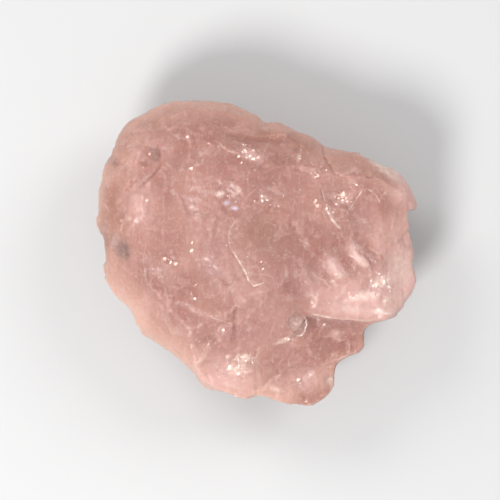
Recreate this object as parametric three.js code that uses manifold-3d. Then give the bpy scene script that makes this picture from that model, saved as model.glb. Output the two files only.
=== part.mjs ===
// A rough piece of morganite, pink beryl as it comes out of the ground: one flattish, water-worn
// lump with broken facets, shallow shell-shaped scars and a step where one corner has split away.
// It lies on the small flat spot of its underside. Units are millimetres, +Z is up, X runs along
// the long side, and the origin is on the resting face, under the middle of the outline.

import * as THREE from "three";
import { mergeVertices } from "three/addons/utils/BufferGeometryUtils.js";
import Module from "manifold-3d";

const wasm = await Module();
wasm.setup();

// Driving dimensions
const HEIGHT = 14.4; // resting face to the highest point of the untouched lump
const RIM_HEIGHT = 6.8; // mean height of the widest line round the stone
const RIM_TILT = { by: 1.1, towards: -0.5 }; // the rim is this much higher on that side, in radians
const RIM_WAVE = { by: 0.5, times: 3, shift: 0.4 }; // and rises and falls this often round the stone
const UNDER_DEPTH = 0.45; // how far the lump would reach below the face that it rests on
const SHOULDER = 0.62; // exponent of the upper profile: smaller is a flatter top
const BELLY = 0.8; // exponent of the lower profile
const SPUR_FADE = 40; // how fast the outline's small spurs fade away from the rim
const SPUR_SPAN = 0.35; // half of the arc that the outline is averaged over, in radians
const COLOUR = 0xcf9c90;
const ROUGHNESS = 0.3;

// Fineness of the meshes
const SEGMENTS_ROUND = 152;
const SEGMENTS_DOWN = 16;
const OUTLINE_STEPS = 1440;
const SHELL_SEGMENTS = { least: 11, per_mm: 1.6, down: 0.6 };
const FAR = 60; // longer than the stone, for solids that only cut

// The widest line round the stone as seen from above, clockwise from the top.
const OUTLINE = [
  [-3.5, 15.2], [-1.8, 14.7], [-0.2, 13.95], [0.9, 13.1], [2.4, 13.0], [3.6, 12.5], [4.7, 11.9],
  [5.8, 11.35], [7.2, 10.5], [8.6, 10.25], [10.2, 9.85], [11.8, 9.25], [13.3, 8.6], [14.5, 7.7],
  [15.4, 6.5], [16.0, 5.2], [16.15, 4.3], [15.95, 3.4], [15.6, 2.4], [15.55, 1.4],
  [15.75, 0.0], [15.65, -1.2], [16.15, -2.7], [16.05, -3.6], [15.5, -4.4], [14.85, -5.2],
  [14.5, -6.0], [13.8, -6.65], [12.5, -6.95], [11.8, -7.1], [11.1, -7.5], [10.8, -8.0],
  [11.0, -9.1], [10.55, -9.9], [9.2, -10.5], [8.15, -11.3], [7.9, -11.95], [8.1, -12.9],
  [7.7, -13.85], [6.35, -14.95], [5.0, -15.3], [3.5, -15.15], [2.2, -14.95], [0.9, -14.45],
  [-0.2, -14.3], [-1.0, -14.7], [-2.6, -14.4], [-4.2, -13.8], [-5.4, -13.3], [-6.2, -12.2],
  [-7.4, -11.0], [-9.0, -9.8], [-10.6, -8.7], [-11.8, -7.7], [-12.7, -6.2], [-13.8, -4.8],
  [-15.0, -3.1], [-15.4, -1.6], [-15.5, -0.5], [-15.95, 1.1], [-16.2, 2.7], [-15.8, 3.9],
  [-15.85, 5.5], [-15.6, 7.5], [-15.2, 8.9], [-14.5, 9.4], [-14.4, 10.6], [-13.9, 12.1],
  [-13.0, 13.35], [-11.6, 14.1], [-10.25, 14.9], [-8.2, 15.15], [-5.7, 15.3],
];

// Broken facets: each plane passes through `at`, faces `out`, and takes away what lies beyond it,
// or only the part of that which is also beyond the plane `only`.
const FACETS = [
  { at: [-3.0, 0.0, 13.2], out: [-0.05, -0.05, 1] }, // main plateau
  { at: [5.0, 0.0, 12.8], out: [0.15, 0.02, 1] }, // east half of the top, down to the right lobe
  { at: [-2.0, 11.6, 12.7], out: [-0.1, 0.55, 1] }, // north slope
  { at: [8.0, 7.6, 12.2], out: [0.22, 0.62, 1] }, // smooth north-east facet
  { at: [-12.0, 4.0, 12.6], out: [-0.6, 0.06, 1] }, // west shoulder
  { at: [-9.6, 10.4, 12.4], out: [-0.42, 0.38, 1] }, // north-west shoulder
  { at: [-10.2, -5.2, 12.2], out: [-0.6, -0.5, 1] }, // long south-west slope
  { at: [-3.0, -8.8, 12.6], out: [-0.14, -0.52, 1], only: { at: [0.1, 0, 0], out: [-1, 0.04, 0] } },
  { at: [9.5, -4.2, 11.8], out: [0.14, -0.42, 1] }, // south edge of the right lobe
  { at: [12.8, -1.0, 11.1], out: [0.7, -0.12, 1] }, // east end of the right lobe
  { at: [12.9, 3.0, 11.3], out: [0.4, -0.03, 1] }, // soft step above it
  { at: [2.0, 11.5, 3.7], out: [0.1, 0.72, -1] }, // north side, under the rim
  { at: [10.5, 4.0, 3.3], out: [0.74, 0.35, -1] }, // east side, under the rim
  { at: [8.0, -8.0, 2.7], out: [0.6, -0.52, -1] }, // south-east side, under the rim
  { at: [-2.0, -10.5, 3.0], out: [-0.1, -0.8, -1] }, // south side, under the rim
  { at: [-9.6, -4.5, 2.6], out: [-0.66, -0.55, -1] }, // south-west side, under the rim
  { at: [-11.5, 5.0, 3.6], out: [-0.85, 0.3, -1] }, // west side, under the rim
  { at: [-7.0, 10.5, 3.0], out: [-0.42, 0.76, -1] }, // north-west side, under the rim
];
const RESTING_FACE = { at: [0, 0, 0], out: [0, 0, -1] };

// Shell-shaped scars in the top, where `at` is seen from above. `half` holds the half length and
// half width of the scar's rim, `turn` is its long direction from +X in degrees.
const SCARS = [
  { at: [-10.3, 9.4], half: [1.5, 1.1], depth: 0.5, turn: 80 }, // west pit
  { at: [-11.3, 6.9], half: [2.2, 0.6], depth: 0.25, turn: 38 }, // crease below the west pit
  { at: [-13.2, 0.4], half: [2.0, 1.3], depth: 0.5, turn: 110 }, // hollow at the west end
  { at: [0.3, 11.2], half: [3.6, 0.8], depth: 0.25, turn: -2 }, // groove along the north step
  { at: [8.5, 5.6], half: [2.5, 1.7], depth: 0.5, turn: -20 }, // shell scar north of the lobe
  { at: [10.7, 3.5], half: [2.6, 1.7], depth: 0.36, turn: -52 }, // its neighbour to the east
  { at: [1.4, 1.6], half: [4.6, 2.6], depth: 0.3, turn: -8 }, // wide hollow in the middle
  { at: [-2.6, 5.6], half: [1.6, 1.1], depth: 0.25, turn: -25 }, // ringed scar left of the middle
  { at: [3.0, 6.8], half: [3.4, 1.9], depth: 0.25, turn: 12 }, // hollow north of the middle
  { at: [3.95, -7.1], half: [1.2, 0.95], depth: 0.16, turn: 70 }, // round scar by the inner corner
  { at: [5.7, -7.2], half: [1.3, 0.7], depth: 0.2, turn: -75 }, // pocket of the inner corner
  { at: [-4.6, -3.4], half: [4.2, 2.4], depth: 0.24, turn: -35 }, // long hollow south of the middle
  { at: [-7.4, 1.8], half: [3.8, 2.2], depth: 0.24, turn: 72 }, // long hollow west of the middle
  { at: [-6.4, 9.6], half: [3.0, 1.6], depth: 0.24, turn: 20 }, // hollow of the north-west shoulder
  { at: [-9.6, -2.6], half: [2.8, 1.5], depth: 0.22, turn: 130 }, // hollow above the long slope
  { at: [-3.9, -11.6], half: [2.2, 1.0], depth: 0.35, turn: -22 }, // hollow of the south facet
  { at: [3.7, -12.6], half: [2.6, 1.5], depth: 0.22, turn: 12 }, // scar on the lower corner
  { at: [11.6, -3.6], half: [2.6, 1.2], depth: 0.35, turn: 18 }, // hollow of the lobe's bright end
];

// The slanting furrows of the right lobe, from the first one in the south-west.
const FURROWS = {
  first: [4.2, -3.7],
  step: [2.25, 1.35],
  count: 4,
  half: [2.3, 1.15],
  depth: 0.34,
  turn: -54,
};

// Scars all round the sides and underside, which the photo doesn't show: one every golden angle.
const SIDE_SCARS = { count: 18, from: 2.2, rise: 5.6, half: [3.9, 2.5], depth: 0.6 };
const SIDE_SCAR_SIZES = { least: 0.7, more: 0.45 }; // multiples of those sizes
const GOLDEN_ANGLE = 137.5;

// Lumps that stand proud of the surface, given as the scars are.
const LUMPS = [
  { at: [-11.7, 4.6], half: [1.9, 1.3], depth: 0.5, turn: 75 }, // bright lump of the west shoulder
];
const SHELL = 3; // how many times its depth a scar's ellipsoid measures from middle to bottom
const UNEVEN = [
  { times: 3, by: 0.1 },
  { times: 5, by: 0.06 },
]; // waves of a scar's rim, as shares of its size

// The corner that split away: its upright walls as seen from above, and the plane it left.
const CORNER = {
  walls: [
    [0.0, -20], [0.15, -10.2], [1.7, -9.2], [3.6, -8.2], [4.7, -7.0], [4.9, -6.45], [8.0, -6.6],
    [11.6, -6.9], [20, -7.6], [20, -20],
  ],
  floor: { at: [4.5, -8.2, 10.4], out: [0.2, -0.1, 1] },
};

// The small notch in the east edge, as seen from above.
const NOTCH = [[15.0, 4.0], [17, 4.3], [17, 1.2], [15.65, 1.2], [15.25, 2.0], [15.05, 2.9]];

const upright = new THREE.Vector3(0, 0, 1);

// A closed three.js geometry as a solid that can be cut and joined.
function solidOf(geometry) {
  const bare = geometry.clone();
  bare.deleteAttribute("normal");
  bare.deleteAttribute("uv");
  const merged = mergeVertices(bare, 1e-4);
  return new wasm.Manifold(
    new wasm.Mesh({
      numProp: 3,
      vertProperties: new Float32Array(merged.attributes.position.array),
      triVerts: new Uint32Array(merged.index.array),
    }),
  );
}

// A solid's surface as a three.js geometry with flat faces.
function geometryOf(solid) {
  const mesh = solid.getMesh();
  const geometry = new THREE.BufferGeometry();
  geometry.setAttribute("position", new THREE.BufferAttribute(mesh.vertProperties, 3));
  geometry.setIndex(new THREE.BufferAttribute(mesh.triVerts, 1));
  const flat = geometry.toNonIndexed();
  flat.computeVertexNormals();
  return flat;
}

// Distance of the outline from the origin in every direction, as a function of the angle.
function outlineRadius() {
  const curve = new THREE.CatmullRomCurve3(
    OUTLINE.map(([x, y]) => new THREE.Vector3(x, y, 0)),
    true,
    "centripetal",
  );
  const samples = curve
    .getPoints(OUTLINE_STEPS)
    .slice(0, OUTLINE_STEPS)
    .map((p) => ({ angle: Math.atan2(p.y, p.x), radius: Math.hypot(p.x, p.y) }))
    .sort((a, b) => a.angle - b.angle);
  const first = samples[0];
  const last = samples[samples.length - 1];
  samples.unshift({ angle: last.angle - 2 * Math.PI, radius: last.radius });
  samples.push({ angle: first.angle + 2 * Math.PI, radius: first.radius });
  return (angle) => {
    let low = 0;
    let high = samples.length - 1;
    while (high - low > 1) {
      const middle = (low + high) >> 1;
      if (samples[middle].angle <= angle) low = middle;
      else high = middle;
    }
    const share = THREE.MathUtils.inverseLerp(samples[low].angle, samples[high].angle, angle);
    return THREE.MathUtils.lerp(samples[low].radius, samples[high].radius, share);
  };
}

// An angle brought back between -180 and 180 degrees, in radians.
function wrap(angle) {
  return THREE.MathUtils.euclideanModulo(angle + Math.PI, 2 * Math.PI) - Math.PI;
}

// Height of the widest line round the stone.
function rimHeight(angle) {
  const tilt = RIM_TILT.by * Math.cos(angle - RIM_TILT.towards);
  const wave = RIM_WAVE.by * Math.sin(RIM_WAVE.times * angle + RIM_WAVE.shift);
  return RIM_HEIGHT + tilt + wave;
}

// The lump before anything broke off: a sphere pulled out to the outline, with its widest line
// rising and falling round the stone and a flatter top than belly. The outline's hollows run up
// and down the sides, while its spurs stay near the widest line.
function lump() {
  const radiusAt = outlineRadius();
  const broadRadius = (angle) => {
    const sides = [-1, -0.5, 0, 0.5, 1];
    const sum = sides.reduce((total, side) => total + radiusAt(wrap(angle + side * SPUR_SPAN)), 0);
    return sum / sides.length;
  };
  const geometry = new THREE.SphereGeometry(1, SEGMENTS_ROUND, SEGMENTS_DOWN);
  geometry.rotateX(Math.PI / 2);
  const position = geometry.attributes.position;
  const point = new THREE.Vector3();
  for (let i = 0; i < position.count; i++) {
    point.fromBufferAttribute(position, i);
    const angle = Math.atan2(point.y, point.x);
    const out = Math.min(1, Math.hypot(point.x, point.y));
    const exact = radiusAt(angle);
    const plain = Math.min(exact, broadRadius(angle));
    const radius = out * THREE.MathUtils.lerp(plain, exact, out ** SPUR_FADE);
    const rim = rimHeight(angle);
    const rise =
      point.z >= 0
        ? (HEIGHT - rim) * point.z ** SHOULDER
        : -(rim + UNDER_DEPTH) * (-point.z) ** BELLY;
    position.setXYZ(i, radius * Math.cos(angle), radius * Math.sin(angle), rim + rise);
  }
  return solidOf(geometry);
}

// A block that fills everything beyond a plane.
function beyond({ at, out, only }) {
  const normal = new THREE.Vector3(...out).normalize();
  const geometry = new THREE.BoxGeometry(2 * FAR, 2 * FAR, FAR);
  geometry.translate(0, 0, FAR / 2);
  geometry.applyQuaternion(new THREE.Quaternion().setFromUnitVectors(upright, normal));
  geometry.translate(...at);
  const block = solidOf(geometry);
  return only ? block.intersect(beyond(only)) : block;
}

// An upright column with the given outline.
function column(outline) {
  const shape = new THREE.Shape(outline.map(([x, y]) => new THREE.Vector2(x, y)));
  return solidOf(new THREE.ExtrudeGeometry(shape, { depth: FAR, bevelEnabled: false }));
}

// The material that went with the split corner: inside its walls and above its floor.
function splitCorner() {
  return column(CORNER.walls).intersect(beyond(CORNER.floor));
}

// Where a straight line first meets the surface, and which way the surface faces there.
function meet(surface, from, direction) {
  const [hit] = new THREE.Raycaster(from, direction).intersectObject(surface);
  return { point: hit.point, normal: hit.face.normal };
}

function fromAbove(surface, [x, y]) {
  return meet(surface, new THREE.Vector3(x, y, FAR), new THREE.Vector3(0, 0, -1));
}

function fromSide(surface, degrees, height) {
  const angle = THREE.MathUtils.degToRad(degrees);
  const outward = new THREE.Vector3(Math.cos(angle), Math.sin(angle), 0);
  const from = outward.clone().multiplyScalar(FAR).setZ(height);
  return meet(surface, from, outward.negate());
}

// An uneven ellipsoid whose cap has the given half sizes and depth. Its middle stands off the
// surface on that `side`: outside for a scar to cut, inside for a lump to add.
function shell({ point, normal }, { half, depth, turn }, side) {
  const spread = 1 / Math.sqrt(1 - ((SHELL - 1) / SHELL) ** 2);
  const round = Math.round(SHELL_SEGMENTS.least + SHELL_SEGMENTS.per_mm * half[0]);
  const down = Math.round(round * SHELL_SEGMENTS.down);
  const geometry = new THREE.SphereGeometry(1, round, down);
  geometry.rotateX(Math.PI / 2);
  const position = geometry.attributes.position;
  for (let i = 0; i < position.count; i++) {
    const angle = Math.atan2(position.getY(i), position.getX(i));
    const wave = ({ times, by }) => by * Math.sin(times * (angle + turn));
    const uneven = UNEVEN.reduce((sum, each) => sum + wave(each), 1);
    position.setXY(i, position.getX(i) * uneven, position.getY(i) * uneven);
  }
  geometry.scale(half[0] * spread, half[1] * spread, SHELL * depth);
  geometry.rotateZ(THREE.MathUtils.degToRad(turn));
  geometry.translate(0, 0, side * (SHELL - 1) * depth);
  geometry.applyQuaternion(new THREE.Quaternion().setFromUnitVectors(upright, normal));
  geometry.translate(point.x, point.y, point.z);
  return solidOf(geometry);
}

const scar = (place, sizes) => shell(place, sizes, 1);
const bump = (place, sizes) => shell(place, sizes, -1);

function furrows(surface) {
  const { first, step, count, ...sizes } = FURROWS;
  return Array.from({ length: count }, (_, i) => {
    const at = [first[0] + i * step[0], first[1] + i * step[1]];
    return scar(fromAbove(surface, at), sizes);
  });
}

function sideScars(surface) {
  const { count, from, rise, half, depth } = SIDE_SCARS;
  return Array.from({ length: count }, (_, i) => {
    const turn = (i * GOLDEN_ANGLE) % 360;
    const size = SIDE_SCAR_SIZES.least + SIDE_SCAR_SIZES.more * Math.abs(Math.sin(turn));
    const place = fromSide(surface, turn, from + (rise * i) / count);
    const sizes = { half: half.map((h) => h * size), depth: depth * size, turn };
    return scar(place, sizes);
  });
}

function stone() {
  let solid = lump();
  for (const facet of FACETS) solid = solid.subtract(beyond(facet));
  solid = solid.subtract(splitCorner()).subtract(column(NOTCH));
  const surface = new THREE.Mesh(geometryOf(solid));
  for (const rise of LUMPS) solid = solid.add(bump(fromAbove(surface, rise.at), rise));
  for (const hollow of SCARS) solid = solid.subtract(scar(fromAbove(surface, hollow.at), hollow));
  for (const furrow of furrows(surface)) solid = solid.subtract(furrow);
  for (const hollow of sideScars(surface)) solid = solid.subtract(hollow);
  solid = solid.subtract(beyond(RESTING_FACE));
  const geometry = geometryOf(solid);
  geometry.computeBoundingBox();
  const middle = geometry.boundingBox.getCenter(new THREE.Vector3());
  geometry.translate(-middle.x, -middle.y, -geometry.boundingBox.min.z);
  const material = new THREE.MeshStandardMaterial({
    color: COLOUR,
    roughness: ROUGHNESS,
    metalness: 0,
  });
  const mesh = new THREE.Mesh(geometry, material);
  mesh.name = "stone";
  return mesh;
}

const piece = new THREE.Group();
piece.add(stone());

export default piece;
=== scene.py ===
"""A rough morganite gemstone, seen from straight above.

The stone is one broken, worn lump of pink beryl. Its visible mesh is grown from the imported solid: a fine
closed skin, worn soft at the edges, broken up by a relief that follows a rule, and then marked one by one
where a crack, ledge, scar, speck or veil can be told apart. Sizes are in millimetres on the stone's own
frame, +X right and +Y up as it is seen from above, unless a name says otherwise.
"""

import logging
import math
from dataclasses import asdict, dataclass, field
from enum import Enum
from functools import reduce
from typing import Any, Iterable, Sequence

import bmesh
import bpy
import numpy as np
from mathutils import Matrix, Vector


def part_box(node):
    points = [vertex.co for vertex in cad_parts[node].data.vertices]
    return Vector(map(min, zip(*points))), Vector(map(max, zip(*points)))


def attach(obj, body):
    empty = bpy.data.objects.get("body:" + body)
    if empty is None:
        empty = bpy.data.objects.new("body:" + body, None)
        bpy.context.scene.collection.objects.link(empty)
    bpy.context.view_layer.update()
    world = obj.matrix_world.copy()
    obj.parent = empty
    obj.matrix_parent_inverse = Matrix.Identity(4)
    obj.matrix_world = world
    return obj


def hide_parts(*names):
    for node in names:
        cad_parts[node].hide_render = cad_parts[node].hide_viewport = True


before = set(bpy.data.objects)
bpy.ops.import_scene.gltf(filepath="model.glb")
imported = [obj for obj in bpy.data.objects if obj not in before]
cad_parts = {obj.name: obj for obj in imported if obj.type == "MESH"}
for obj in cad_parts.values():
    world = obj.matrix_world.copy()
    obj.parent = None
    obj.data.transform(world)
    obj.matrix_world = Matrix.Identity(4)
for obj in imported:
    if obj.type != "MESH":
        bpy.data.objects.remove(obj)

MM = 0.001  # one millimetre in the frame's metres
NODE = "stone"
Point = tuple[float, float]
Colour = tuple[float, float, float]
log = logging.getLogger("morganite")


class Mark(Enum):
    """What a soft-edged patch of the stone's top is, some of them with painted light or shade: each is an
    attribute of the finished mesh.
    """

    VEIL = "veil"  # milky cloud of tiny inclusions, and painted light on the north-east rim, the east of the lobe and the ribs' lit flanks
    SMUDGE = "smudge"  # grey-green stain just below the surface
    ROSE = "rose"  # deeper, redder stone, and painted shade along the north groove's step, in the rib valleys and under the lobe's ledge
    AMBER = "amber"  # browner stone, and painted shade along the north groove's step
    MAUVE = "mauve"  # cooler stone
    PALE = "pale"  # lighter, fresher stone, and painted light on the lobe, the south facet, the east rim and the ribs' lit flanks
    LILAC = "lilac"  # bluish gleam of a flat crack inside the stone
    FRESH = "fresh"  # freshly broken, so glassy and uneven
    GLITTER = "painted_glitter"  # a cluster of tiny chips with painted glints


@dataclass(frozen=True)
class Oval:
    """An oval on the top of the stone.

    Args:
        at: its middle.
        half: half length and half width.
        turn: direction of the length from +X, in degrees.
    """

    at: Point
    half: Point
    turn: float = 0.0

    def distance(self, x: np.ndarray, y: np.ndarray) -> np.ndarray:
        """Distance from the oval's middle, counted in its own half sizes.

        Args:
            x: places along X.
            y: places along Y.

        Returns:
            0 in the middle, 1 on the rim.
        """
        cos, sin = math.cos(math.radians(self.turn)), math.sin(math.radians(self.turn))
        along = ((x - self.at[0]) * cos + (y - self.at[1]) * sin) / self.half[0]
        across = ((y - self.at[1]) * cos - (x - self.at[0]) * sin) / self.half[1]
        return np.hypot(along, across)


@dataclass(frozen=True)
class Patch(Oval):
    """A patch with soft edges; amount is how strong it is in its middle."""

    amount: float = 1.0

    def weight(self, x: np.ndarray, y: np.ndarray) -> np.ndarray:
        """Strength of the patch at each place, zero outside it."""
        return self.amount * (1.0 - smoothstep(0.1, 1.35, self.distance(x, y)))


@dataclass(frozen=True)
class Streak:
    """A thin line on the top of the stone: a healed crack, a hairline or a sharp edge; a few are painted
    shade below a step and painted highlight on a ledge or rib.

    Args:
        points: where it runs.
        width: half width of the drawn line.
        light: from -1, a dark line, to 1, a white one.
        depth: depth of its groove; a line that stands proud has a negative depth.
        spread: half width of the groove.
    """

    points: tuple[Point, ...]
    width: float
    light: float
    depth: float
    spread: float = 0.2


@dataclass(frozen=True)
class Hollow(Oval):
    """A small dish, ring or bump.

    Args:
        depth: depth of its middle; a bump has a negative depth.
        rings: number of ripples from its middle to its rim.
        ring_depth: height of those ripples.
        hard: 0 for a soft dish, 1 for one with a sharp rim.
    """

    depth: float = 0.2
    rings: int = 0
    ring_depth: float = 0.0
    hard: float = 0.0

    def dish(self, x: np.ndarray, y: np.ndarray) -> np.ndarray:
        """Depth of the hollow.

        Args:
            x: places along X.
            y: places along Y.

        Returns:
            The depth at each place.
        """
        away = self.distance(x, y)
        soft = np.clip(1.0 - away**2, 0.0, 1.0)
        hard = 1.0 - smoothstep(0.8, 1.05, away)
        depth = self.depth * ((1.0 - self.hard) * soft + self.hard * hard)
        if self.rings:
            rings = np.cos(2.0 * math.pi * self.rings * away) * (away < 1.0)
            depth = depth + self.ring_depth * rings * hard
        return depth


def smoothstep(low: float, high: float, value: np.ndarray) -> np.ndarray:
    """A soft step from 0 at the low limit to 1 at the high one."""
    share = np.clip((value - low) / (high - low), 0.0, 1.0)
    return share * share * (3.0 - 2.0 * share)


class Value:
    """A node's output that takes part in Python arithmetic; each operation adds a Math node."""

    def __init__(self, graph: "Graph", socket: bpy.types.NodeSocket) -> None:
        """Keeps the socket and the graph that it belongs to."""
        self.graph = graph
        self.socket = socket

    def __add__(self, other: Any) -> "Value":
        """Sum."""
        return self.graph.maths("ADD", self, other)

    def __sub__(self, other: Any) -> "Value":
        """Difference."""
        return self.graph.maths("SUBTRACT", self, other)

    def __rsub__(self, other: Any) -> "Value":
        """Difference, where the number comes first."""
        return self.graph.maths("SUBTRACT", other, self)

    def __mul__(self, other: Any) -> "Value":
        """Product."""
        return self.graph.maths("MULTIPLY", self, other)

    def __truediv__(self, other: Any) -> "Value":
        """Quotient."""
        return self.graph.maths("DIVIDE", self, other)

    def __rtruediv__(self, other: Any) -> "Value":
        """Quotient, where the number comes first."""
        return self.graph.maths("DIVIDE", other, self)

    __radd__ = __add__
    __rmul__ = __mul__


class Graph:
    """Adds nodes to one node tree, shader or geometry."""

    def __init__(self, tree: bpy.types.NodeTree) -> None:
        """Keeps the tree."""
        self.tree = tree

    @staticmethod
    def pick(sockets: Iterable[bpy.types.NodeSocket], key: str) -> bpy.types.NodeSocket:
        """Finds a socket by its identifier, or else by its name."""
        listed = list(sockets)
        for each in listed:
            if each.identifier == key:
                return each
        return next(each for each in listed if each.name == key)

    def node(self, kind: str, settings: dict | None = None, sockets: dict | None = None) -> bpy.types.Node:
        """Adds one node.

        Args:
            kind: the node's type.
            settings: its properties, set first.
            sockets: a value, or a Value or socket to link, for each input.

        Returns:
            The node.
        """
        node = self.tree.nodes.new(kind)
        for name, setting in (settings or {}).items():
            setattr(node, name, setting)
        for key, value in (sockets or {}).items():
            target = self.pick(node.inputs, key)
            if isinstance(value, Value):
                self.tree.links.new(value.socket, target)
            else:
                target.default_value = value
        return node

    def out(self, node: bpy.types.Node, key: str) -> Value:
        """One output of a node, ready for arithmetic."""
        return Value(self, self.pick(node.outputs, key))

    def maths(self, operation: str, *values: Any) -> Value:
        """Adds a Math node."""
        sockets = dict(zip(("Value", "Value_001"), values))
        node = self.node("ShaderNodeMath", {"operation": operation}, sockets)
        return self.out(node, "Value")

    def vector(self, operation: str, *values: Any, key: str = "Vector") -> Value:
        """Adds a Vector Math node."""
        sockets = dict(zip(("Vector", "Vector_001"), values))
        node = self.node("ShaderNodeVectorMath", {"operation": operation}, sockets)
        return self.out(node, key)

    def scaled(self, vector: Value, factor: Any) -> Value:
        """A vector times a number."""
        settings = {"operation": "SCALE"}
        node = self.node("ShaderNodeVectorMath", settings, {"Vector": vector, "Scale": factor})
        return self.out(node, "Vector")

    def part(self, vector: Value, axis: str) -> Value:
        """One coordinate of a vector."""
        return self.out(self.node("ShaderNodeSeparateXYZ", None, {"Vector": vector}), axis)

    def largest(self, *values: Any) -> Value:
        """The largest of some numbers."""
        return reduce(lambda first, second: self.maths("MAXIMUM", first, second), values)

    def noise(
        self, place: Value, scale: Any, detail: float = 3.0, roughness: float = 0.55, key: str = "Fac"
    ) -> Value:
        """Soft noise, about 0.5 on average.

        Args:
            place: the place on the stone.
            scale: what the place is multiplied by, one number or one for each axis.
            detail: number of finer layers.
            roughness: how strong the finer layers are.
            key: the output, a number or a colour.

        Returns:
            The noise.
        """
        wide = isinstance(scale, tuple)
        place = self.vector("MULTIPLY", place, scale) if wide else self.scaled(place, scale)
        sockets = {"Vector": place, "Scale": 1.0, "Detail": detail, "Roughness": roughness}
        return self.out(self.node("ShaderNodeTexNoise", {"noise_dimensions": "3D"}, sockets), key)

    def cells(self, place: Value, scale: float = 1.0, feature: str = "F1") -> bpy.types.Node:
        """Adds a Voronoi node."""
        settings = {"voronoi_dimensions": "3D", "feature": feature}
        return self.node("ShaderNodeTexVoronoi", settings, {"Vector": place, "Scale": scale})

    def facets(self, place: Value, size: Any, bend: float = 0.55) -> tuple[Value, Value, Value]:
        """Flat facets, each leaning its own way.

        Args:
            place: the place on the stone.
            size: width of a facet.
            bend: how far its edges wander, counted in its width.

        Returns:
            The height for a lean of about one half, the place counted from the facet's middle, and the
            facet's own random colour. The height fades to nothing at the facet's borders.
        """
        wander = self.noise(place, 0.55, 2.0, key="Color")
        wander = self.vector("SUBTRACT", wander, (0.5, 0.5, 0.5))
        bent = self.vector("ADD", self.scaled(place, 1.0 / size), self.scaled(wander, bend))
        cells = self.cells(bent)
        colour = self.out(cells, "Color")
        away = self.vector("SUBTRACT", bent, self.out(cells, "Position"))
        lean = self.vector("SUBTRACT", colour, (0.5, 0.5, 0.5))
        slope = self.vector("DOT_PRODUCT", away, lean, key="Value")
        border = self.out(self.cells(bent, feature="DISTANCE_TO_EDGE"), "Distance")
        inside = self.step(0.0, 0.08, border)
        return slope * inside * size * 2.0, self.scaled(away, size), colour

    def step(self, low: Any, high: Any, value: Value) -> Value:
        """A soft step from 0 at the low limit to 1 at the high one."""
        settings = {"interpolation_type": "SMOOTHSTEP"}
        sockets = {"Value": value, "From Min": low, "From Max": high}
        return self.out(self.node("ShaderNodeMapRange", settings, sockets), "Result")

    def mix(self, factor: Any, first: Any, second: Any) -> Value:
        """The second colour laid over the first; a plain colour is given without its alpha."""
        first, second = ((*each, 1.0) if isinstance(each, tuple) else each for each in (first, second))
        settings = {"data_type": "RGBA", "clamp_factor": True}
        sockets = {"Factor_Float": factor, "A_Color": first, "B_Color": second}
        return self.out(self.node("ShaderNodeMix", settings, sockets), "Result_Color")


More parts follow.
